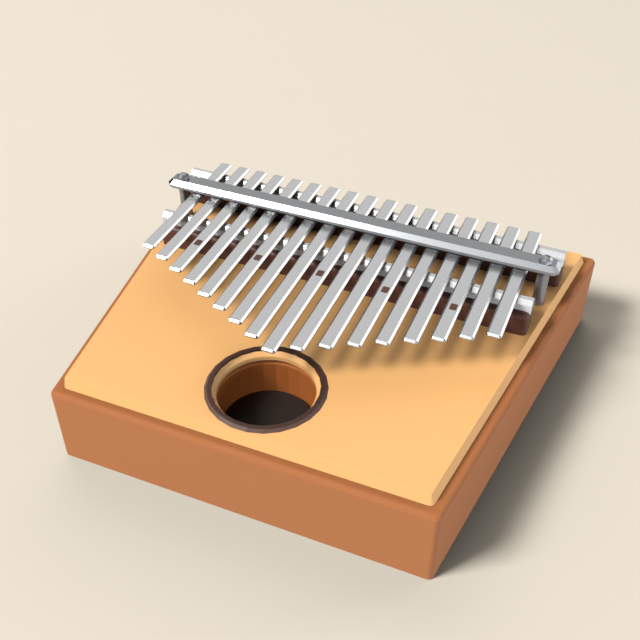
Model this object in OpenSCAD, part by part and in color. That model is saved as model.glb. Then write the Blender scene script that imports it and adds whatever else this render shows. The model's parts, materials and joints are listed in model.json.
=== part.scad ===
// Kalimba: seventeen spring-steel tines on a hollow wooden sound box.
// X runs left to right, Y from the player's edge to the back, Z up.
// The origin is the centre of the flat bottom.

/* [Sound box] */
// Length of the box, front to back
box_l = 130; // [120:1:150]
// Width of the box at the player's edge
front_w = 120; // [112:1:150]
// Width of the box at the back edge
rear_w = 157.2; // [150:0.1:180]
// Height of the box without the soundboard
box_h = 27.3; // [24:0.1:36]
// Bevel along every edge of the box
box_bevel = 1.6; // [0.4:0.1:3]
// Thickness of the two side walls
side_wall = 14; // [13:0.5:18]
// Thickness of the front and the back wall
end_wall = 10; // [8:0.5:14]
// Thickness of the box's top over the chamber
roof_t = 5; // [3:0.5:7]
// Thickness of the plate that closes the chamber below
back_t = 3; // [2:0.5:5]
// Width of the step that the back plate is glued in
rebate_w = 4; // [2:0.5:6]

/* [Soundboard] */
// Thickness of the soundboard
board_t = 3.2; // [2:0.1:5]
// Distance from the box's edge to the soundboard's edge
board_margin = 3.3; // [1:0.1:6]
// Bevel along the soundboard's upper edge
board_bevel = 1.3; // [0.3:0.1:1.8]

/* [Sound hole] */
// Distance from the player's edge to the middle of the hole
hole_inset = 23.7; // [22:0.1:27]
// Radius of the hole in the soundboard
hole_r = 14.7; // [12:0.1:16]
// Bevel of the hole's upper edge
hole_bevel = 1.3; // [0.3:0.1:1.8]
// Width of the dark ring round the hole
ring_w = 2.2; // [1:0.1:3]
// Thickness of the dark ring
ring_t = 0.5; // [0.3:0.1:1]
// Radius of the well under the hole
well_r = 15.2; // [14:0.1:16]
// Bevel of the well's lip
well_bevel = 1.6; // [0.3:0.1:2.5]
// Wall of the collar that the well runs in
collar_wall = 3; // [2:0.5:4]
// Height of the collar's lower rim over the bottom
collar_z = 12; // [11.6:0.1:12.6]
// Radius of the dark disc at the foot of the well
floor_r = 14; // [10:0.1:14.5]
// Thickness of that disc
floor_t = 2; // [1:0.1:2.4]
// Height of the disc's upper face over the bottom
floor_z = 15.4; // [15:0.1:18]
// Radius of the stem under the disc
stem_r = 4; // [2:0.5:6]
// Width of the brace that carries the stem
brace_w = 10; // [8:0.5:14]
// Height of that brace
brace_h = 8.4; // [6:0.1:8.4]

/* [Bridges and saddles] */
// Distance from the back edge to the middle of the rear bridge
rear_bridge_inset = 22; // [20:0.1:24]
// Distance from the back edge to the middle of the front bridge
front_bridge_inset = 50.5; // [48:0.1:54]
// Distance from the box's side to the front bridge's end
front_bridge_margin = 6.57; // [6:0.01:8]
// Distance from the box's side to the rear bridge's end
rear_bridge_margin = 6.15; // [6:0.01:8]
// Depth of each bridge, front to back
bridge_d = 9.4; // [8:0.1:11]
// Height of each bridge over the soundboard
bridge_h = 7.8; // [6:0.1:10]
// Bevel along the bridges' edges
bridge_bevel = 1.6; // [0.4:0.1:2]
// Depth of each steel saddle, front to back
saddle_d = 4.4; // [4.2:0.1:5]
// Height of each saddle over its bridge
saddle_h = 3.6; // [3:0.1:5]
// Bevel along the saddles' upper edges
saddle_bevel = 1.45; // [0.4:0.05:1.8]
// Depth of the groove that each saddle sits in
groove_h = 1; // [0.5:0.1:2]

/* [Pressure bar] */
// Distance from the back edge to the middle of the bar
bar_inset = 36.6; // [36:0.1:38]
// Distance from the box's side to the bar's end
bar_margin = 3.71; // [2:0.01:4]
// Depth of the bar, front to back
bar_d = 7.5; // [6.5:0.1:9]
// Thickness of the bar
bar_t = 3.55; // [3:0.05:5]
// Bevel of the bar's upper edges
bar_bevel = 1.47; // [0.3:0.01:1.6]
// Bevel of the bar's lower edges
bar_under_bevel = 1.15; // [0.3:0.05:1.2]
// Distance from the bar's end to the middle of its screw
screw_inset = 4.95; // [4.5:0.05:6]
// Radius of the screws' shanks
shank_r = 2; // [1.5:0.1:2.2]
// Radius of the screws' domed heads
head_r = 2.4; // [2.3:0.1:3]
// Height of the heads over the bar
head_h = 1.8; // [1.4:0.1:2.2]
// Outer radius of the threaded inserts
insert_r = 3.2; // [2.8:0.1:3.5]
// Length of the threaded inserts
insert_h = 12; // [8:0.5:14]

/* [Tines] */
// Number of tines
tine_count = 17; // [9:2:17]
// Distance from the outermost tines to the screws' shanks
tine_margin = 2.71; // [2:0.01:4]
// Width of each tine
tine_w = 4.3; // [3.4:0.1:4.6]
// Thickness of each tine
tine_t = 1.6; // [1.4:0.1:2]
// Bevel along every edge of the tines
tine_bevel = 0.65; // [0.2:0.05:0.7]
// Reach of the middle tine in front of the front saddle
tine_reach = 53.8; // [46:0.1:56]
// How much shorter the reach is from one tine to the next
reach_step = 3.87; // [1:0.01:4]
// Length of each tine behind the rear saddle
tine_tail = 5.95; // [3:0.05:8]
// Distance from the front saddle to the middle of the marks
mark_inset = 14.9; // [8:0.1:18]
// Width of the square marks
mark_w = 2.8; // [2:0.1:2.9]
// Length of the square marks
mark_l = 3; // [2:0.1:5]
// Depth that the marks are let into their tines
mark_depth = 0.2; // [0.1:0.05:0.5]

/* [Clearances] */
// Play between a tine and the bars that it slides between
slip = 0.03; // [0.02:0.01:0.1]
// Play round pieces that are glued or pressed in
glue_gap = 0.1; // [0.05:0.05:0.3]
// Play round the screws where they pass through
screw_gap = 0.2; // [0.1:0.05:0.4]
// Play between a screw and the insert's thread
thread_gap = 0.05; // [0.02:0.01:0.1]
// Gap between the held and the free part of a tine
bend_gap = 0.2; // [0.15:0.05:0.4]
// Distance that a tine can slide each way when it is tuned
tuning_travel = 1.2; // [0.5:0.1:1.5]

/* [Hidden] */
$fn = 96;
middle = (tine_count + 1) / 2;

// Slope of the box's sides, as the sides flare towards the back
flare = atan((rear_w - front_w) / 2 / box_l);
hole_y = hole_inset - box_l / 2;
front_y = box_l / 2 - front_bridge_inset;
rear_y = box_l / 2 - rear_bridge_inset;
bar_y = box_l / 2 - bar_inset;

// The bar, the bridges and the row of tines keep their distances from the box's sides
bar_w = 2 * (side_x(bar_y, 0) - bar_margin);
front_bridge_w = 2 * (side_x(front_y, 0) - front_bridge_margin);
rear_bridge_w = 2 * (side_x(rear_y, 0) - rear_bridge_margin);
screw_x = bar_w / 2 - screw_inset;
tine_pitch = (2 * (screw_x - shank_r - tine_margin) - tine_w) / (tine_count - 1);

board_z = box_h;
bridge_z = board_z + board_t;
saddle_z = bridge_z + bridge_h;
tine_z = saddle_z + saddle_h + slip;
bar_z = tine_z + tine_t + slip;
bar_top = bar_z + bar_t;
ring_in_r = hole_r + hole_bevel;
brace_top = back_t + brace_h;

// The blade bends just in front of the saddle's flat top, over the whole tuning travel
saddle_flat = saddle_d - 2 * saddle_bevel;
bend_y = front_y - saddle_flat / 2 - tuning_travel - slip;
tail_y = rear_y + tine_tail;

// Overshoot of cutting shapes
cut = 1;

TINES = [for (i = [1:tine_count]) i];
MARKED = [for (i = TINES) if (i % 3 == 0) i];

function tine_x(i) = (i - middle) * tine_pitch;
function tip_y(i) = front_y - tine_reach + reach_step * abs(i - middle);

// Half the box's width at y, less a wall measured square to the side
function side_x(y, wall) =
    front_w / 2 + (y + box_l / 2) * tan(flare) - wall / cos(flare);

// The box's plan drawn in by a side and an end wall, its corners cut off
function plan(side, end, corner) =
    let (y = box_l / 2 - end, f = side_x(-y, side), r = side_x(y, side))
    let (across = corner * sin(flare), along = corner * cos(flare))
    [[f - corner, -y], [f + across, along - y], [r - across, y - along], [r - corner, y],
     [corner - r, y], [across - r, y - along], [-f - across, along - y], [corner - f, -y]];

// A rectangle w by d with its corners cut off
function bar_plan(w, d, corner) =
    let (x = w / 2, y = d / 2)
    [[x - corner, -y], [x, corner - y], [x, y - corner], [x - corner, y],
     [corner - x, y], [-x, y - corner], [-x, corner - y], [corner - x, -y]];

// Wedges that take a 45 degree bevel off the edges at height z of an upright block;
// tilt is 45 for its upper edges and 135 for its lower ones
module bevel_wedges(points, z, bevel, tilt) {
    for (i = [0:len(points) - 1])
        let (p = points[i], q = points[(i + 1) % len(points)], d = q - p)
            translate([(p[0] + q[0]) / 2, (p[1] + q[1]) / 2, z])
                rotate([0, 0, atan2(d[1], d[0])])
                    rotate([tilt, 0, 0])
                        translate([0, 0, bevel * (1 - sqrt(1 / 2))])
                            cube([norm(d) + 4 * bevel, 2 * bevel, 2 * bevel], center = true);
}

module bevelled_block(points, z, h, upper, lower = 0) {
    difference() {
        translate([0, 0, z])
            linear_extrude(h)
                polygon(points);
        bevel_wedges(points, z + h, upper, 45);
        if (lower > 0)
            bevel_wedges(points, z, lower, 135);
    }
}

// A copy at each end of the pressure bar, where the screws stand
module at_screws() {
    for (side = [-1, 1])
        translate([side * screw_x, bar_y, 0])
            children();
}

module at_hole() {
    translate([0, hole_y, 0])
        children();
}

module body() {
    color("#b0714a")
        difference() {
            union() {
                difference() {
                    bevelled_block(plan(0, 0, box_bevel), 0, box_h, box_bevel, box_bevel);
                    translate([0, 0, -cut])
                        linear_extrude(box_h - roof_t + cut)
                            polygon(plan(side_wall, end_wall, rebate_w));
                    translate([0, 0, -cut])
                        linear_extrude(back_t + cut)
                            polygon(plan(side_wall - rebate_w, end_wall - rebate_w, rebate_w));
                }
                at_hole()
                    translate([0, 0, collar_z])
                        cylinder(r = well_r + collar_wall, h = box_h - roof_t / 2 - collar_z);
            }
            at_hole()
                translate([0, 0, back_t])
                    cylinder(r = well_r, h = box_h);
            at_hole()
                translate([0, 0, box_h - well_bevel])
                    cylinder(r1 = well_r, r2 = well_r + well_bevel + cut, h = well_bevel + cut);
            at_screws()
                translate([0, 0, box_h - insert_h])
                    cylinder(r = insert_r + glue_gap / 2, h = insert_h + cut);
        }
}

module back_plate() {
    color("#a4683f")
        linear_extrude(back_t)
            polygon(plan(side_wall - rebate_w + glue_gap, end_wall - rebate_w + glue_gap, rebate_w));
}

module back_brace() {
    brace_l = 2 * (side_x(hole_y - brace_w / 2, side_wall) - glue_gap);
    color("#c99b63")
        translate([-brace_l / 2, hole_y - brace_w / 2, back_t])
            cube([brace_l, brace_w, brace_h]);
}

module well_floor() {
    color("#2a231f")
        at_hole() {
            translate([0, 0, floor_z - floor_t])
                cylinder(r = floor_r, h = floor_t);
            translate([0, 0, brace_top])
                cylinder(r = stem_r, h = floor_z - floor_t / 2 - brace_top);
        }
}

module soundboard() {
    color("#f3c184")
        difference() {
            bevelled_block(plan(board_margin, board_margin, 1), board_z, board_t, board_bevel);
            at_hole()
                translate([0, 0, board_z - cut])
                    cylinder(r = hole_r, h = board_t + 2 * cut);
            at_hole()
                translate([0, 0, bridge_z - hole_bevel])
                    cylinder(r1 = hole_r, r2 = ring_in_r + cut, h = hole_bevel + cut);
            at_screws()
                translate([0, 0, board_z - cut])
                    cylinder(r = shank_r + screw_gap, h = board_t + 2 * cut);
        }
}

module soundhole_ring() {
    color("#5b4038")
        at_hole()
            translate([0, 0, bridge_z])
                difference() {
                    cylinder(r = ring_in_r + ring_w, h = ring_t);
                    translate([0, 0, -cut])
                        cylinder(r = ring_in_r, h = ring_t + 2 * cut);
                }
}

// A dark bar on the soundboard with a groove along its top
module bridge(w, y) {
    color("#3d2620")
        difference() {
            translate([0, y, 0])
                bevelled_block(bar_plan(w, bridge_d, bridge_bevel), bridge_z, bridge_h, bridge_bevel);
            translate([-w / 2 - cut, y - saddle_d / 2 - glue_gap / 2, saddle_z - groove_h])
                cube([w + 2 * cut, saddle_d + glue_gap, groove_h + cut]);
        }
}

// A steel bar set in the bridge's groove, bevelled to a narrow flat top; its ends are cut square
module saddle(w, y) {
    foot = saddle_z - groove_h;
    top = saddle_z + saddle_h;
    half = saddle_d / 2;
    color("#c4c6c8")
        translate([-w / 2, y, 0])
            rotate([90, 0, 90])
                linear_extrude(w)
                    polygon([[-half, foot], [half, foot], [half, top - saddle_bevel],
                             [half - saddle_bevel, top], [saddle_bevel - half, top],
                             [-half, top - saddle_bevel]]);
}

module pressure_bar() {
    color("#b4b6b8")
        difference() {
            translate([0, bar_y, 0])
                bevelled_block(bar_plan(bar_w, bar_d, bar_bevel), bar_z, bar_t,
                               bar_bevel, bar_under_bevel);
            at_screws()
                translate([0, 0, bar_z - cut])
                    cylinder(r = shank_r + screw_gap, h = bar_t + 2 * cut);
        }
}

// A dome cut flat where it bears on the bar, and a shank down into the insert
module bar_screws() {
    shank_z = box_h - insert_h + cut;
    dome_r = (head_r * head_r + head_h * head_h) / (2 * head_h);
    color("#8f9294")
        at_screws()
            union() {
                intersection() {
                    translate([0, 0, bar_top + head_h - dome_r])
                        sphere(r = dome_r);
                    translate([-dome_r, -dome_r, bar_top])
                        cube([2 * dome_r, 2 * dome_r, 2 * dome_r]);
                }
                translate([0, 0, shank_z])
                    cylinder(r = shank_r, h = bar_top + head_h / 3 - shank_z);
            }
}

module screw_inserts() {
    color("#b8964a")
        at_screws()
            difference() {
                translate([0, 0, box_h - insert_h])
                    cylinder(r = insert_r, h = insert_h);
                translate([0, 0, box_h - insert_h - cut])
                    cylinder(r = shank_r + thread_gap, h = insert_h + 2 * cut);
            }
}

// A whole tine: a flat steel strip, bevelled along its edges and round both ends
module tine(i) {
    length = tail_y - tip_y(i);
    translate([tine_x(i), tail_y - length / 2, 0])
        bevelled_block(bar_plan(tine_w, length, tine_bevel), tine_z, tine_t,
                       tine_bevel, tine_bevel);
}

// The stretch of tine i from y = start to y = finish
module stretch(i, start, finish) {
    intersection() {
        tine(i);
        translate([tine_x(i) - tine_w, start, tine_z - cut])
            cube([2 * tine_w, finish - start, tine_t + 2 * cut]);
    }
}

module mark_tile(i, play) {
    translate([tine_x(i), front_y - mark_inset, tine_z + tine_t - mark_depth + play])
        linear_extrude(mark_depth + slip)
            square([mark_w - 2 * play, mark_l - 2 * play], center = true);
}

// The part of a tine that the bar presses on the saddles
module tine_root(i) {
    color("#bcbec0")
        stretch(i, bend_y + bend_gap, tail_y + cut);
}

// The part of a tine that the thumb plucks
module tine_blade(i) {
    color("#c8cacc")
        difference() {
            stretch(i, tip_y(i) - cut, bend_y);
            if (i % 3 == 0)
                mark_tile(i, 0);
        }
}

module tine_mark(i) {
    color("#3c3c3e")
        mark_tile(i, 0.01);
}

body();
back_plate();
back_brace();
well_floor();
soundboard();
soundhole_ring();
bridge(front_bridge_w, front_y);  // front_bridge
bridge(rear_bridge_w, rear_y);  // rear_bridge
saddle(front_bridge_w, front_y);  // front_saddle
saddle(rear_bridge_w, rear_y);  // rear_saddle
pressure_bar();
bar_screws();
screw_inserts();
for (i = TINES) {
    tine_root(i);
    tine_blade(i);
}
for (i = MARKED)
    tine_mark(i);
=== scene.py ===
import json
import math

import bmesh
import bpy
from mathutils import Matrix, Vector


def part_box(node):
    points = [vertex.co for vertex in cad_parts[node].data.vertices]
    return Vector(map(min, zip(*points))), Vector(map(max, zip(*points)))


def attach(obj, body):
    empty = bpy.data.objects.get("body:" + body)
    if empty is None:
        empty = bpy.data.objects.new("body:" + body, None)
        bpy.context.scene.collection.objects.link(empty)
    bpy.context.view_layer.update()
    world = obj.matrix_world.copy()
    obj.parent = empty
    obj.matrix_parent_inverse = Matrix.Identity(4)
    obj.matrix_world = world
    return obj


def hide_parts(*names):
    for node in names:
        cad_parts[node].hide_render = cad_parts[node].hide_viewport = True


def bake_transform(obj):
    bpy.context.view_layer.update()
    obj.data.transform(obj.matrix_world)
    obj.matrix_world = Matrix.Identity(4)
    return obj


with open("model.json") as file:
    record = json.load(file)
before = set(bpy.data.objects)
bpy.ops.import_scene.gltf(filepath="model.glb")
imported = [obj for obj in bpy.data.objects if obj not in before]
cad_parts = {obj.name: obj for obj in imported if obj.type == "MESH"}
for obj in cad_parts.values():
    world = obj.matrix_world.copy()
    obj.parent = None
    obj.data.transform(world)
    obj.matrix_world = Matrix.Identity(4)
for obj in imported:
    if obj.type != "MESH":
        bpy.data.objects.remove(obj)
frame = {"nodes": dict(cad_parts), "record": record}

scene = bpy.context.scene
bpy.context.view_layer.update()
mm = 0.001

# camera, solved from the straight edges of the photograph
view = {"place": (0.08555, -0.20612, 0.21305), "pitch": 49.7218, "turn": 22.5902, "lens": 50.0,
        "sensor": 36.0, "near": 0.01, "far": 50.0}

camera = bpy.data.objects.new("camera", bpy.data.cameras.new("camera"))
camera.location = view["place"]
camera.rotation_euler = (math.radians(view["pitch"]), 0, math.radians(view["turn"]))
camera.data.lens = view["lens"]
camera.data.sensor_width = view["sensor"]
camera.data.clip_start = view["near"]
camera.data.clip_end = view["far"]
scene.collection.objects.link(camera)
scene.camera = camera
scene.view_settings.view_transform = "Standard"
scene.view_settings.look = "None"
scene.cycles.diffuse_bounces = 0  # the photograph shows no colour thrown from one surface onto another
print("camera placed")


# a socket in a tree of nodes; arithmetic on it adds Math nodes
class Wire:
    def __init__(self, tree, socket):
        self.tree = tree
        self.socket = socket

    # a new node in the same tree: its settings first, then the values or wires of its sockets
    def node(self, kind, settings, inputs, output=0):
        made = self.tree.nodes.new(kind)
        for name, value in settings.items():
            setattr(made, name, value)
        for name, value in inputs.items():
            self.feed(made.inputs[name], value)
        return Wire(self.tree, made.outputs[output])

    def feed(self, socket, value):
        if isinstance(value, Wire):
            self.tree.links.new(value.socket, socket)
        elif isinstance(value, tuple) and socket.type == "RGBA":
            socket.default_value = (*value, 1)
        else:
            socket.default_value = value

    def maths(self, operation, first, second=0.0):
        return self.node("ShaderNodeMath", {"operation": operation}, {0: first, 1: second})

    def __add__(self, other):
        return self.maths("ADD", self, other)

    def __radd__(self, other):
        return self.maths("ADD", other, self)

    def __sub__(self, other):
        return self.maths("SUBTRACT", self, other)

    def __rsub__(self, other):
        return self.maths("SUBTRACT", other, self)

    def __mul__(self, other):
        return self.maths("MULTIPLY", self, other)

    def __rmul__(self, other):
        return self.maths("MULTIPLY", other, self)

    def __pow__(self, other):
        return self.maths("POWER", self, other)

    def __rpow__(self, other):
        return self.maths("POWER", other, self)

    def clamp(self):
        return self.node("ShaderNodeClamp", {}, {"Value": self})

    # 0 up to an edge and 1 from a blend's width past it, both in millimetres
    def past(self, edge, blend):
        return ((self - edge * mm) * (1 / (blend * mm))).clamp()

    def axis(self, name):
        return self.node("ShaderNodeSeparateXYZ", {}, {"Vector": self}, name)

    # the second colour where the wire is 1, the first where it is 0; a Mix node has its colours at 6 and 7
    def blendColours(self, first, second):
        return self.node("ShaderNodeMix", {"data_type": "RGBA"}, {0: self, 6: first, 7: second}, 2)

    # noise stretched by one scale per axis, in repeats per metre
    def noise(self, scale, detail, roughness, distortion=0.0):
        place = self.node("ShaderNodeMapping", {"vector_type": "POINT"}, {"Vector": self, "Scale": scale})
        return place.node("ShaderNodeTexNoise", {}, {"Vector": place, "Scale": 1.0, "Detail": detail,
                                                     "Roughness": roughness, "Distortion": distortion})


# a new material: its shader gets the constants, and then the wires from paint()
def newMaterial(name, constants, paint=None):
    material = bpy.data.materials.new(name)
    material.use_nodes = True
    tree = material.node_tree
    shader = tree.nodes["Principled BSDF"]
    place = Wire(tree, tree.nodes.new("ShaderNodeTexCoord").outputs["Object"])
    wires = paint(place) if paint else {}
    for socket, value in [*constants.items(), *wires.items()]:
        place.feed(shader.inputs[socket], value)
    return material


# a colour's deepest and palest shade, where it varies by a share either way
def shades(colour, varies):
    return [tuple(min(1.0, channel * factor) for channel in colour) for factor in (1 - varies, 1 + varies)]


# how far a place is from the sound hole's axis
def fromHole(place):
    across, along = place.axis("X"), place.axis("Y") - hole["y"] * mm
    return (across * across + along * along) ** 0.5


woodGrain = {"fibreShare": 0.5, "ior": 1.45, "bumpHeight": 0.1}
steelGrain = {"lineShare": 0.5, "smearScale": (60, 60, 60), "sideBlend": 0.1}


# wood: fine fibres along the grain, soft wide bands across it, a slope painted paler as painted light, and a
# rim painted darker and a wall painted deeper as painted shade
def woodMaterial(name, look):
    def paint(place):
        fibres = place.noise(look["fibreScale"], detail=4, roughness=0.6)
        bands = place.noise(look["bandScale"], detail=2, roughness=0.5, distortion=0.6)
        mix = (fibres * woodGrain["fibreShare"] + bands * (1 - woodGrain["fibreShare"])).clamp()
        colour = mix.blendColours(*shades(look["colour"], look["contrast"]))
        # painted light: the ring's slope is paler than its top, as if it caught more of the lamps
        if "paintedSlopeLight" in look:
            slopeLightMask = fromHole(place).past(ringLook["outer"] - ringLook["slope"], look["blend"])
            colour = slopeLightMask.blendColours(colour, look["paintedSlopeLight"])
        # painted shade: the box's top and upper rounding are painted darker than its sides, as if they got
        # less light
        if "paintedRimShade" in look:
            rimShadeMask = place.axis("Z").past(box["height"] - box["round"], look["blend"])
            colour = rimShadeMask.blendColours(colour, look["paintedRimShade"])
        # painted shade: inside the well the wood is a deeper, redder tone, as it looks in the well's shade
        if "paintedWallShade" in look:
            pastWallShade = fromHole(place).past(hole["wellRadius"], look["blend"])
            colour = pastWallShade.blendColours(look["paintedWallShade"], colour)
        rough = look["roughness"] + (fibres - 0.5) * look["roughVaries"]
        bump = place.node("ShaderNodeBump", {}, {"Strength": look["bump"], "Height": fibres,
                                                 "Distance": woodGrain["bumpHeight"] * mm})
        return {"Base Color": colour, "Roughness": rough, "Normal": bump}
    return newMaterial(name, {"IOR": woodGrain["ior"], "Specular IOR Level": look["gloss"]}, paint)


# steel: drawn along one axis, so its fine lines run that way; a bar's lower sides may be painted paler and
# less metallic than its top, as painted reflection
def steelMaterial(name, look):
    def paint(place):
        lines = place.noise(look["lineScale"], detail=3, roughness=0.5)
        smears = place.noise(steelGrain["smearScale"], detail=2, roughness=0.5)
        mix = (lines * steelGrain["lineShare"] + smears * (1 - steelGrain["lineShare"])).clamp()
        colour = mix.blendColours(*shades(look["colour"], look["contrast"]))
        rough = look["roughness"] + (lines - 0.5) * look["roughVaries"]
        if "side" not in look:
            return {"Base Color": colour, "Roughness": rough}
        # painted reflection: below the side height the steel is paler and less metallic, as if its sides
        # caught reflected light
        upper = place.axis("Z").past(look["side"], steelGrain["sideBlend"])
        return {"Base Color": upper.blendColours(look["paintedSideLight"], colour), "Roughness": rough,
                "Metallic": look["sideMetal"] + upper * (look["metal"] - look["sideMetal"])}
    return newMaterial(name, {"Metallic": look["metal"]}, paint)


# lengths are in millimetres
box = {"length": 130.0, "frontWidth": 120.0, "rearWidth": 157.2, "height": 27.3, "round": 1.6,
       "footRound": 0.3, "corner": 1.9, "innerCorner": 4.0, "sideWall": 14.0, "endWall": 10.0, "roof": 5.0,
       "backStep": 3.0, "rebate": 4.0, "roundSteps": 5}
hole = {"y": -41.3, "radius": 14.7, "bevel": 1.3, "underBevel": 0.45, "wellRadius": 15.2, "wellBevel": 1.6,
        "wellFoot": 12.0, "collar": 3.0, "fit": 0.02, "count": 96, "wellCount": 24}
ringLook = {"inner": 16.0, "outer": 18.2, "z": 30.5, "slope": 1.0, "foot": 0.05, "rise": 0.9, "count": 24}

# scales are repeats per metre along X, Y and Z, so the grain runs along the axis with the smallest
woodLooks = {
    # the rim colour is painted shade, darker on the box's top and upper rounding
    "boxWood": {"colour": (0.6, 0.23, 0.09), "paintedRimShade": (0.47, 0.165, 0.055),
                # the wall colour is painted shade, deeper and redder inside the well
                "paintedWallShade": (0.64, 0.188, 0.046), "blend": 1.0, "contrast": 0.04,
                "fibreScale": (900, 25, 900), "bandScale": (60, 3, 60), "roughness": 0.65,
                "roughVaries": 0.06, "bump": 0.05, "gloss": 0.2},
    "boardWood": {"colour": (0.955, 0.507, 0.183), "contrast": 0.02, "fibreScale": (900, 25, 900),
                  "bandScale": (60, 3, 60), "roughness": 0.5, "roughVaries": 0.06, "bump": 0.05,
                  "gloss": 0.4},
    # the slope colour is painted light, paler than the ring's top
    "ringWood": {"colour": (0.068, 0.03, 0.021), "paintedSlopeLight": (0.135, 0.075, 0.055), "blend": 0.1,
                 "contrast": 0.06, "fibreScale": (900, 60, 900), "bandScale": (90, 9, 90), "roughness": 0.5,
                 "roughVaries": 0.05, "bump": 0.04, "gloss": 0.3},
    "markEnamel": {"colour": (0.108, 0.052, 0.034), "contrast": 0.03, "fibreScale": (600, 600, 600),
                   "bandScale": (90, 90, 90), "roughness": 0.5, "roughVaries": 0.05, "bump": 0.01,
                   "gloss": 0.25},
    "bridgeWood": {"colour": (0.11, 0.038, 0.024), "contrast": 0.08, "fibreScale": (60, 900, 900),
                   "bandScale": (6, 90, 90), "roughness": 0.45, "roughVaries": 0.05, "bump": 0.04,
                   "gloss": 0.5},
    # the near-black disc at the foot of the well is painted shade, standing for the dark inside of the box
    "wellShadeDisc": {"colour": (0.026, 0.02, 0.0155), "contrast": 0.1, "fibreScale": (900, 60, 900),
                 "bandScale": (90, 9, 90), "roughness": 0.5, "roughVaries": 0.05, "bump": 0.04, "gloss": 0.5},
    "braceWood": {"colour": (0.6, 0.38, 0.18), "contrast": 0.05, "fibreScale": (30, 900, 900),
                  "bandScale": (4, 60, 60), "roughness": 0.6, "roughVaries": 0.05, "bump": 0.1, "gloss": 0.5},
}
steelLooks = {
    "tineSteel": {"colour": (0.46, 0.46, 0.46), "metal": 0.8, "contrast": 0.01, "lineScale": (2500, 20, 2500),
                  "roughness": 0.2, "roughVaries": 0.02},
    # the side colours of the saddles and the bar are painted reflection, paler than their tops
    "saddleSteel": {"colour": (0.5, 0.5, 0.5), "metal": 0.45, "side": 40.4, "paintedSideLight": (0.76, 0.76, 0.76),
                    "sideMetal": 0.1, "contrast": 0.01, "lineScale": (20, 2500, 2500), "roughness": 0.2,
                    "roughVaries": 0.02},
    "barSteel": {"colour": (0.235, 0.245, 0.25), "metal": 1.0, "side": 45.6, "paintedSideLight": (0.36, 0.36, 0.36),
                 "sideMetal": 0.3, "contrast": 0.01, "lineScale": (20, 2500, 2500), "roughness": 0.2,
                 "roughVaries": 0.02},
    "screwSteel": {"colour": (0.3, 0.3, 0.31), "metal": 0.6, "contrast": 0.01, "lineScale": (900, 900, 900),
                   "roughness": 0.2, "roughVaries": 0.02},
    "insertBrass": {"colour": (0.75, 0.55, 0.25), "metal": 1.0, "contrast": 0.02,
                    "lineScale": (2500, 2500, 50), "roughness": 0.3, "roughVaries": 0.04},
}
finishes = {name: woodMaterial(name, look) for name, look in woodLooks.items()}
finishes.update({name: steelMaterial(name, look) for name, look in steelLooks.items()})
slotFinishes = {"box_wood": "boxWood", "board_wood": "boardWood", "ring_wood": "ringWood",
                "bridge_wood": "bridgeWood", "well_disc": "wellShadeDisc", "brace_wood": "braceWood",
                "tine_steel": "tineSteel", "saddle_steel": "saddleSteel", "bar_steel": "barSteel",
                "screw_steel": "screwSteel", "insert_brass": "insertBrass", "mark_enamel": "markEnamel"}
for part in frame["record"]["subparts"]:
    held = frame["nodes"][part["node"]]
    held.data.materials.clear()
    held.data.materials.append(finishes[slotFinishes[part["material_slot"]]])
print("materials made:", len(finishes))


# points are in millimetres; every ring of a stack has the same number of them
def stackRings(mesh, rings):
    made = [[mesh.verts.new(Vector(point) * mm) for point in ring] for ring in rings]
    for low, high in zip(made, made[1:]):
        for i in range(len(low)):
            j = (i + 1) % len(low)
            mesh.faces.new((low[i], low[j], high[j], high[i]))
    return made


# a stack with its first and last ring filled
def closedStack(mesh, rings):
    made = stackRings(mesh, rings)
    mesh.faces.new(made[0][::-1])
    mesh.faces.new(made[-1])


# a flat face between an outline and any holes in it
def flatFace(mesh, *rings):
    edges = []
    for ring in rings:
        for a, b in zip(ring, ring[1:] + ring[:1]):
            edges.append(mesh.edges.get((a, b)) or mesh.edges.new((a, b)))
    bmesh.ops.triangle_fill(mesh, edges=edges, use_beauty=True, use_dissolve=False)


def newPiece(mesh, name, material):
    data = bpy.data.meshes.new(name)
    mesh.to_mesh(data)
    mesh.free()
    data.materials.append(material)
    piece = bpy.data.objects.new(name, data)
    scene.collection.objects.link(piece)
    return piece


# the piece's modifiers become part of its mesh
def makePlain(piece):
    bpy.context.view_layer.update()
    seen = piece.evaluated_get(bpy.context.evaluated_depsgraph_get())
    data = bpy.data.meshes.new_from_object(seen)
    piece.modifiers.clear()
    old = piece.data
    piece.data = data
    bpy.data.meshes.remove(old)
    piece.data.name = piece.name


woodEdge = {"merge": 0.001, "sharp": 40, "weight": 100}
steelEdge = {"segments": 2, "sharp": 25}


# merged, turned outwards, its flat faces kept flat beside the rounded edges;
# an edge that turns by more degrees than sharp stays crisp
def finishPiece(mesh, name, finish, sharp=woodEdge["sharp"]):
    bmesh.ops.remove_doubles(mesh, verts=mesh.verts, dist=woodEdge["merge"] * mm)
    bmesh.ops.recalc_face_normals(mesh, faces=mesh.faces)
    for face in mesh.faces:
        face.smooth = True
    for edge in mesh.edges:
        edge.smooth = not edge.is_manifold or edge.calc_face_angle(0) < math.radians(sharp)
    piece = newPiece(mesh, name, finishes[finish])
    weighted = piece.modifiers.new("weighted", "WEIGHTED_NORMAL")
    weighted.keep_sharp = True
    weighted.weight = woodEdge["weight"]
    makePlain(piece)
    return piece


# the crisp edges of steel, very finely rounded, with the faces between them kept flat
def softEdge(piece, width):
    bevel = piece.modifiers.new("edge", "BEVEL")
    bevel.width = width * mm
    bevel.segments = steelEdge["segments"]
    bevel.limit_method = "ANGLE"
    bevel.angle_limit = math.radians(steelEdge["sharp"])
    bevel.harden_normals = True
    makePlain(piece)


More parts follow.
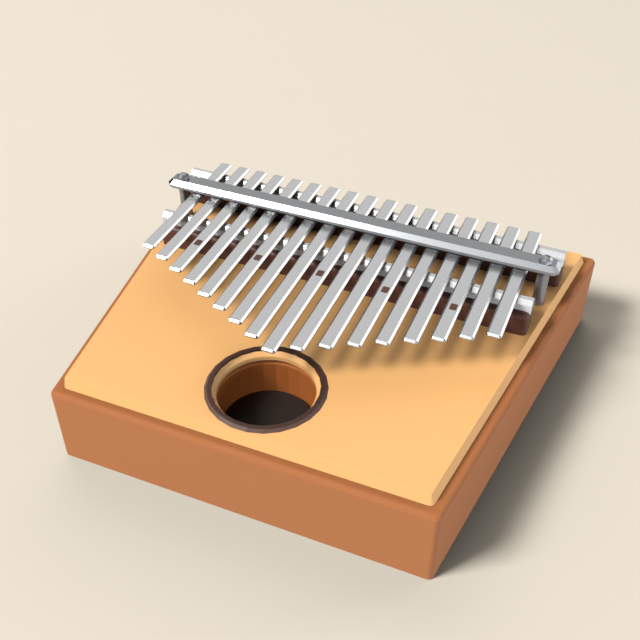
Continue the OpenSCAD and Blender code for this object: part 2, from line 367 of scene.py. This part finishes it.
# a steel bar that rides on the frame
def crispSteel(mesh, name, finish, width, node):
    bmesh.ops.recalc_face_normals(mesh, faces=mesh.faces)
    for face in mesh.faces:
        face.smooth = True
    piece = newPiece(mesh, name, finishes[finish])
    softEdge(piece, width)
    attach(piece, "frame")
    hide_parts(node)


slope = math.atan((box["rearWidth"] - box["frontWidth"]) / 2 / box["length"])


# half the box's width at y, less a wall measured square to the side
def sideAt(y, wall=0.0):
    return box["frontWidth"] / 2 + (y + box["length"] / 2) * math.tan(slope) - wall / math.cos(slope)


# the box's plan, drawn in by a side and an end wall, with round corners
def boxPlan(z, side, end, radius, steps):
    back = box["length"] / 2 - end - radius
    corners = [(sideAt(-back, side + radius), -back, -math.pi / 2, -slope),
               (sideAt(back, side + radius), back, -slope, math.pi / 2),
               (-sideAt(back, side + radius), back, math.pi / 2, math.pi + slope),
               (-sideAt(-back, side + radius), -back, math.pi + slope, 3 * math.pi / 2)]
    points = []
    for x, y, start, end in corners:
        for i in range(steps + 1):
            turn = start + (end - start) * i / steps
            points.append((x + radius * math.cos(turn), y + radius * math.sin(turn), z))
    return points


def circle(radius, x, y, z, count, turn=0.0):
    return [(x + radius * math.cos(turn + 2 * math.pi * i / count),
             y + radius * math.sin(turn + 2 * math.pi * i / count), z) for i in range(count)]


# a quarter turn in equal steps
def quarter(steps):
    return [math.pi / 2 * i / steps for i in range(steps + 1)]


# the box with its chamber, the step for the back plate and a round opening for the well
def soundBox():
    mesh = bmesh.new()
    steps = box["roundSteps"]
    roof = box["height"] - box["roof"]
    inner = (box["sideWall"], box["endWall"], box["innerCorner"])
    step = (box["sideWall"] - box["rebate"], box["endWall"] - box["rebate"], box["innerCorner"])
    rings = [boxPlan(roof, *inner, steps), boxPlan(box["backStep"], *inner, steps),
             boxPlan(box["backStep"], *step, steps), boxPlan(0, *step, steps)]
    for z, turn, r in [(0, 1, box["footRound"]), (box["height"], -1, box["round"])]:
        arc = []
        for a in quarter(steps):
            inset = r * (1 - math.sin(a))
            arc.append(boxPlan(z + turn * r * (1 - math.cos(a)), inset, inset, box["corner"] - inset, steps))
        rings += arc if turn > 0 else arc[::-1]
    made = stackRings(mesh, rings)
    mouth = hole["wellRadius"] + hole["collar"] + hole["fit"]
    well = stackRings(mesh, [circle(mouth, 0, hole["y"], z, hole["count"]) for z in (box["height"], roof)])
    flatFace(mesh, made[-1], well[0])
    flatFace(mesh, made[0], well[-1])
    piece = finishPiece(mesh, "soundBox", "boxWood")
    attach(piece, "frame")
    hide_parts("body")


# the round wall of the well, with its bevelled lip
def wellCollar():
    mesh = bmesh.new()
    inner, outer, top = hole["wellRadius"], hole["wellRadius"] + hole["collar"], box["height"]
    sizes = [(inner, hole["wellFoot"]), (inner, top - hole["wellBevel"]), (inner + hole["wellBevel"], top),
             (outer, top), (outer, hole["wellFoot"])]
    stackRings(mesh, [circle(radius, 0, hole["y"], z, hole["wellCount"]) for radius, z in sizes + sizes[:1]])
    piece = finishPiece(mesh, "wellCollar", "boxWood", sharp=10)
    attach(piece, "frame")
    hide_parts("body")


board = {"z": 27.3, "thick": 3.2, "margin": 3.3, "lean": 1.2, "sideLean": 0.85, "slide": -0.35, "round": 0.12,
         "corner": 1.6, "steps": 4, "shank": 2.05}
screws = {"x": 64.703, "y": 28.4, "holeSides": 24}


# the two screw holes through a board or bar, one stack of rings each
def screwHoles(mesh, radius, heights):
    return [stackRings(mesh, [circle(radius, side * screws["x"], screws["y"], z, screws["holeSides"])
                              for z in heights]) for side in (-1, 1)]


# the board's sides lean in from its foot, the left one a little less
def soundBoard():
    mesh = bmesh.new()
    r, steps, top = board["round"], board["steps"], board["z"] + board["thick"]
    rings = [boxPlan(board["z"], board["margin"], board["margin"], board["corner"], steps)]
    for a in quarter(steps):
        inset = board["lean"] + r * (1 - math.cos(a))
        side = board["margin"] + inset + board["sideLean"] - board["lean"]
        end, corner = board["margin"] + inset, board["corner"] - inset
        plan = boxPlan(top - r + r * math.sin(a), side, end, corner, steps)
        rings.append([(x + board["slide"], y, z) for x, y, z in plan])
    made = stackRings(mesh, rings)
    rim = stackRings(mesh, [circle(radius, 0, hole["y"], z, hole["count"]) for radius, z in
                            [(hole["radius"] + hole["bevel"], top),
                             (hole["radius"], top - hole["bevel"]),
                             (hole["radius"], board["z"] + hole["underBevel"]),
                             (hole["radius"] + hole["underBevel"], board["z"])]])
    posts = screwHoles(mesh, board["shank"], (top, board["z"]))
    flatFace(mesh, made[-1], rim[0], posts[0][0], posts[1][0])
    flatFace(mesh, made[0], rim[-1], posts[0][-1], posts[1][-1])
    piece = finishPiece(mesh, "soundBoard", "boardWood")
    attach(piece, "frame")
    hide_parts("soundboard")


# the dark ring round the sound hole, sloping outwards
def holeRing():
    mesh = bmesh.new()
    z, top = ringLook["z"], ringLook["z"] + ringLook["rise"]
    sizes = [(ringLook["inner"], z), (ringLook["inner"], top), (ringLook["outer"] - ringLook["slope"], top),
             (ringLook["outer"], z + ringLook["foot"]), (ringLook["outer"], z)]
    stackRings(mesh, [circle(radius, 0, hole["y"], height, ringLook["count"], math.pi / ringLook["count"])
                      for radius, height in sizes + sizes[:1]])
    piece = finishPiece(mesh, "holeRing", "ringWood", sharp=9)
    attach(piece, "frame")
    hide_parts("soundhole_ring")


bridges = {"front": {"y": 14.5, "width": 129.6}, "rear": {"y": 43.0, "width": 138.6}}
bridgeShape = {"z": 30.5, "depth": 9.4, "height": 7.8, "round": 1.6, "leastRound": 0.05, "steps": 4,
               "groove": 4.5, "grooveDepth": 1.0}


# one slice across a bridge, drawn in by e near its ends
def bridgeSlice(x, y, e):
    half = bridgeShape["depth"] / 2 - e
    top = bridgeShape["z"] + bridgeShape["height"] - e
    r = max(bridgeShape["leastRound"], bridgeShape["round"] - e)
    g = bridgeShape["groove"] / 2
    floor = min(top, bridgeShape["z"] + bridgeShape["height"] - bridgeShape["grooveDepth"])
    points = [(x, y - half, bridgeShape["z"]), (x, y + half, bridgeShape["z"])]
    arc = [(r * (1 - math.cos(a)), r * (1 - math.sin(a))) for a in quarter(bridgeShape["steps"])]
    points += [(x, y + half - inset, top - drop) for inset, drop in arc]
    points += [(x, y + g, top), (x, y + g, floor), (x, y - g, floor), (x, y - g, top)]
    points += [(x, y - half + inset, top - drop) for inset, drop in arc[::-1]]
    return points


# a bridge with rounded ends and edges, and a groove that its saddle sits in
def bridgePiece(name, node, place):
    mesh = bmesh.new()
    r, half, bends = bridgeShape["round"], place["width"] / 2, quarter(bridgeShape["steps"])
    stations = [(-half + r * (1 - math.sin(a)), r * (1 - math.cos(a))) for a in bends[::-1]]
    stations += [(half - r * (1 - math.sin(a)), r * (1 - math.cos(a))) for a in bends]
    closedStack(mesh, [bridgeSlice(x, place["y"], e) for x, e in stations])
    piece = finishPiece(mesh, name, "bridgeWood", sharp=50)
    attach(piece, "frame")
    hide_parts(node)


saddleShape = {"depth": 4.4, "foot": 37.3, "top": 41.9, "bevel": 1.45, "edge": 0.08}


# a steel bar with two bevels, as wide as its bridge
def saddlePiece(name, node, place):
    mesh = bmesh.new()
    half, b = saddleShape["depth"] / 2, saddleShape["bevel"]
    foot, top = saddleShape["foot"], saddleShape["top"]
    outline = [(-half, foot), (half, foot), (half, top - b),
               (half - b, top), (b - half, top), (-half, top - b)]
    ends = (-place["width"] / 2, place["width"] / 2)
    closedStack(mesh, [[(x, place["y"] + y, z) for y, z in outline] for x in ends])
    crispSteel(mesh, name, "saddleSteel", saddleShape["edge"], node)


bar = {"y": 28.4, "width": 139.3, "depth": 7.5, "z": 43.56, "thick": 3.55, "bevel": 1.47, "leastBevel": 0.2,
       "under": 1.15, "bore": 2.2, "edge": 0.08}


def barPlan(z, inset):
    x, y = bar["width"] / 2 - inset, bar["depth"] / 2 - inset
    c = max(bar["leastBevel"], bar["bevel"] - inset * math.tan(math.pi / 8))
    corners = [(x - c, -y), (x, c - y), (x, y - c), (x - c, y),
               (c - x, y), (-x, y - c), (-x, c - y), (c - x, -y)]
    return [(px, bar["y"] + py, z) for px, py in corners]


def pressureBar():
    mesh = bmesh.new()
    low, high = bar["z"], bar["z"] + bar["thick"]
    made = stackRings(mesh, [barPlan(low, bar["under"]), barPlan(low + bar["under"], 0),
                             barPlan(high - bar["bevel"], 0), barPlan(high, bar["bevel"])])
    bores = screwHoles(mesh, bar["bore"], (low, high))
    flatFace(mesh, made[0], bores[0][0], bores[1][0])
    flatFace(mesh, made[-1], bores[0][1], bores[1][1])
    crispSteel(mesh, "pressureBar", "barSteel", bar["edge"], "pressure_bar")


screwLook = {"shank": 2.0, "foot": 16.4, "seat": 0.02, "head": 2.4, "rise": 1.8, "facets": 8, "rows": 3,
             "turn": 0.2, "sides": 32, "sharp": 15, "edge": 0.03}


# domed heads with a few flat facets, on plain shanks
def barScrews():
    mesh = bmesh.new()
    top = bar["z"] + bar["thick"]
    for side in (-1, 1):
        x, y, count = side * screws["x"], screws["y"], screwLook["facets"]
        closedStack(mesh, [circle(screwLook["shank"], x, y, z, screwLook["sides"])
                           for z in (screwLook["foot"], top + screwLook["seat"])])
        for face in mesh.faces:
            face.smooth = True
        rings = []
        for row in range(screwLook["rows"]):
            climb = math.pi / 2 * row / screwLook["rows"]
            rings.append(circle(screwLook["head"] * math.cos(climb), x, y,
                                top + screwLook["rise"] * math.sin(climb), count, screwLook["turn"]))
        head = stackRings(mesh, rings)
        mesh.faces.new(head[0][::-1])
        peak = mesh.verts.new(Vector((x, y, top + screwLook["rise"])) * mm)
        for i in range(count):
            mesh.faces.new((head[-1][i], head[-1][(i + 1) % count], peak))
    bmesh.ops.recalc_face_normals(mesh, faces=mesh.faces)
    for edge in mesh.edges:
        edge.smooth = edge.calc_face_angle(0) < math.radians(screwLook["sharp"])
    piece = newPiece(mesh, "barScrews", finishes["screwSteel"])
    softEdge(piece, screwLook["edge"])
    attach(piece, "frame")
    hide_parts("bar_screws")


soundBox()
wellCollar()
soundBoard()
holeRing()
for side, place in bridges.items():
    bridgePiece(side + "Bridge", side + "_bridge", place)
    saddlePiece(side + "Saddle", side + "_saddle", place)
pressureBar()
barScrews()
print("box, board, bridges and bar built")

tines = {"count": 17, "pitch": 7.230423, "shift": -0.2, "width": 4.7, "thick": 1.6, "z": 41.93,
         "frontSaddle": 14.5, "reach": 53.8, "step": 3.87, "tail": 48.95, "slices": 60, "bevel": 0.65,
         "edge": 0.05}


# a tine: a strip whose length follows from its number in the row
def tineTree():
    tree = bpy.data.node_groups.new("tineStrip", "GeometryNodeTree")
    kinds = {"Number": "Float", "Middle": "Float", "Pitch": "Float", "Shift": "Float", "Width": "Float",
             "Thickness": "Float", "Underside": "Float", "Longest tip": "Float", "Step": "Float",
             "Tail": "Float", "Slices": "Int", "Finish": "Material"}
    ids = {name: tree.interface.new_socket(name, in_out="INPUT", socket_type="NodeSocket" + kind).identifier
           for name, kind in kinds.items()}
    tree.interface.new_socket("Geometry", in_out="OUTPUT", socket_type="NodeSocketGeometry")
    given = tree.nodes.new("NodeGroupInput")
    get = {name: Wire(tree, given.outputs[name]) for name in ids}
    steps = get["Number"] - get["Middle"]
    tip = get["Longest tip"] + steps.maths("ABSOLUTE", steps) * get["Step"]
    length = get["Tail"] - tip
    size = steps.node("ShaderNodeCombineXYZ", {}, {"X": get["Width"], "Y": length, "Z": get["Thickness"]})
    place = steps.node("ShaderNodeCombineXYZ", {}, {"X": steps * get["Pitch"] + get["Shift"],
                                                    "Y": tip + length * 0.5,
                                                    "Z": get["Underside"] + get["Thickness"] * 0.5})
    strip = size.node("GeometryNodeMeshCube", {}, {"Size": size, "Vertices X": 2, "Vertices Y": get["Slices"],
                                                   "Vertices Z": 2})
    moved = strip.node("GeometryNodeTransform", {}, {"Geometry": strip, "Translation": place})
    real = moved.node("GeometryNodeRealizeInstances", {}, {"Geometry": moved})
    done = real.node("GeometryNodeSetMaterial", {}, {"Geometry": real, "Material": get["Finish"]})
    out = tree.nodes.new("NodeGroupOutput")
    tree.links.new(done.socket, out.inputs["Geometry"])
    return tree, ids


tineShape, tineInputs = tineTree()
middle = (tines["count"] + 1) / 2
for number in range(1, tines["count"] + 1):
    name = "tine_%d" % number
    piece = bpy.data.objects.new(name, bpy.data.meshes.new(name))
    scene.collection.objects.link(piece)
    maker = piece.modifiers.new("strip", "NODES")
    maker.node_group = tineShape
    values = {"Number": float(number), "Middle": middle, "Pitch": tines["pitch"] * mm,
              "Shift": tines["shift"] * mm, "Width": tines["width"] * mm, "Thickness": tines["thick"] * mm,
              "Underside": tines["z"] * mm, "Longest tip": (tines["frontSaddle"] - tines["reach"]) * mm,
              "Step": tines["step"] * mm, "Tail": tines["tail"] * mm, "Slices": tines["slices"],
              "Finish": finishes["tineSteel"]}
    for label, value in values.items():
        maker[tineInputs[label]] = value
    cutOff = piece.modifiers.new("bevel", "BEVEL")
    cutOff.width = tines["bevel"] * mm
    cutOff.segments = 1
    cutOff.limit_method = "ANGLE"
    makePlain(piece)
    for polygon in piece.data.polygons:
        polygon.use_smooth = True
    softEdge(piece, tines["edge"])
    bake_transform(piece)
    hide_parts("tine_root_%d" % number, "tine_blade_%d" % number)
print("tines built:", tines["count"])

markLook = {"every": 3, "inset": 0.3, "corner": 0.3}


# a square of enamel, a little narrower than the tine's flat top
def tineMark(number):
    node = "tine_mark_%d" % number
    (left, front, foot), (right, back, top) = ([value / mm for value in corner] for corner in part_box(node))
    left, right, c = left + markLook["inset"], right - markLook["inset"], markLook["corner"]
    plan = [(left + c, front), (right - c, front), (right, front + c), (right, back - c),
            (right - c, back), (left + c, back), (left, back - c), (left, front + c)]
    mesh = bmesh.new()
    closedStack(mesh, [[(x, y, z) for x, y in plan] for z in (foot, top)])
    piece = finishPiece(mesh, "mark_%d" % number, "markEnamel")
    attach(piece, "tine_%d_blade" % number)
    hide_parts(node)


for number in range(markLook["every"], tines["count"] + 1, markLook["every"]):
    tineMark(number)
print("marks built")

floorLook = {"colour": (0.848, 0.763, 0.63), "contrast": 0.005, "speckleScale": (40, 40, 40),
             "roughness": 0.9, "gloss": 0.2, "half": 6000.0, "z": -0.05}


def floorPlane():
    def paint(place):
        speckle = place.noise(floorLook["speckleScale"], detail=3, roughness=0.5)
        return {"Base Color": speckle.blendColours(*shades(floorLook["colour"], floorLook["contrast"]))}
    material = newMaterial("paleFloor", {"Roughness": floorLook["roughness"],
                                         "Specular IOR Level": floorLook["gloss"]}, paint)
    mesh = bmesh.new()
    s, z = floorLook["half"] * mm, floorLook["z"] * mm
    mesh.faces.new([mesh.verts.new(corner) for corner in [(-s, -s, z), (s, -s, z), (s, s, z), (-s, s, z)]])
    floor = newPiece(mesh, "floor", material)


backdropLook = {"colour": (0.8, 0.73, 0.62), "strength": 1.0, "radius": 5900.0, "foot": -1.0,
                "height": 9000.0, "count": 96}


# a pale wall far round the floor, which only the camera sees
def backdropWall():
    material = newMaterial("paleWall", {"Base Color": (0, 0, 0), "Specular IOR Level": 0.0,
                                        "Emission Strength": backdropLook["strength"],
                                        "Emission Color": backdropLook["colour"]})
    material.cycles.emission_sampling = "NONE"
    mesh = bmesh.new()
    stackRings(mesh, [circle(backdropLook["radius"], 0, 0, z, backdropLook["count"])
                      for z in (backdropLook["foot"], backdropLook["height"])])
    wall = newPiece(mesh, "backdrop", material)
    wall.visible_shadow = wall.visible_diffuse = wall.visible_glossy = wall.visible_transmission = False


floorPlane()
backdropWall()

worldLook = {"colour": (1.0, 0.97, 0.93), "strength": 0.04}

world = bpy.data.worlds.new("studio")
scene.world = world
world.use_nodes = True
background = world.node_tree.nodes["Background"]
background.inputs["Color"].default_value = (*worldLook["colour"], 1)
background.inputs["Strength"].default_value = worldLook["strength"]

# soft boxes, placed by azimuth and height and sized by wide and tall, all in degrees; a share is the light
# on the object, where 1 makes pure white paper white. spares and only name the pieces that a light leaves
# out or is kept to: a wash stands for what the ground sends back, so the floor gets none of it
lights = {
    "key": {"azimuth": 225, "height": 45, "wide": 16, "tall": 16, "share": 0.99, "spares": ["wellCollar"]},
    "wellKey": {"azimuth": 225, "height": 45, "wide": 16, "tall": 16, "share": 0.6, "only": ["wellCollar"]},
    "frontFill": {"azimuth": 248, "height": 52, "wide": 28, "tall": 16, "share": 0.12},
    "leftFill": {"azimuth": 122, "height": 45, "wide": 56, "tall": 44, "share": 0.3},
    "backPanel": {"azimuth": 52, "height": 17, "wide": 30, "tall": 32, "share": 0.3, "spares": ["floor"]},
    "backFloor": {"azimuth": 52, "height": 17, "wide": 30, "tall": 32, "share": 0.2, "only": ["floor"]},
    "frontWash": {"azimuth": 275, "height": 5, "wide": 40, "tall": 20, "share": 0.3, "spares": ["floor"]},
    "rightFill": {"azimuth": 356, "height": 40, "wide": 26, "tall": 26, "share": 0.12,
                  "only": ["pressureBar", "barScrews"]},
    "sideWash": {"azimuth": 350, "height": 5, "wide": 60, "tall": 20, "share": 0.61, "spares": ["floor"],
                 "colour": (0.98, 1.15, 1.5)},
    "saddleWash": {"azimuth": 275, "height": 5, "wide": 40, "tall": 20, "share": 0.2,
                   "only": ["frontSaddle", "rearSaddle"]},
    "boardWash": {"azimuth": 350, "height": 5, "wide": 60, "tall": 20, "share": 0.3, "only": ["soundBoard"]},
    "wellWash": {"azimuth": 320, "height": 70, "wide": 60, "tall": 60, "share": 0.5, "only": ["wellCollar"]},
}
lightDistance = 8.0
for name, lamp in lights.items():
    light = bpy.data.lights.new(name, "AREA")
    light.shape = "RECTANGLE"
    light.size = 2 * lightDistance * math.tan(math.radians(lamp["wide"] / 2))
    light.size_y = 2 * lightDistance * math.tan(math.radians(lamp["tall"] / 2))
    light.energy = math.pi ** 2 * lightDistance ** 2 * lamp["share"]
    light.color = lamp.get("colour", (1, 1, 1))
    holder = bpy.data.objects.new(name, light)
    azimuth, height = math.radians(lamp["azimuth"]), math.radians(lamp["height"])
    direction = Vector((math.cos(height) * math.cos(azimuth), math.cos(height) * math.sin(azimuth),
                        math.sin(height)))
    holder.location = direction * lightDistance
    holder.rotation_euler = direction.to_track_quat("Z", "Y").to_euler()
    holder.visible_camera = False
    scene.collection.objects.link(holder)
    chosen = lamp.get("spares", lamp.get("only"))
    if chosen:
        listed = bpy.data.collections.new(name + "List")
        for piece in chosen:
            listed.objects.link(scene.objects[piece])
        for entry in listed.collection_objects:
            entry.light_linking.link_state = "EXCLUDE" if "spares" in lamp else "INCLUDE"
        holder.light_linking.receiver_collection = listed
print("floor and lights placed")
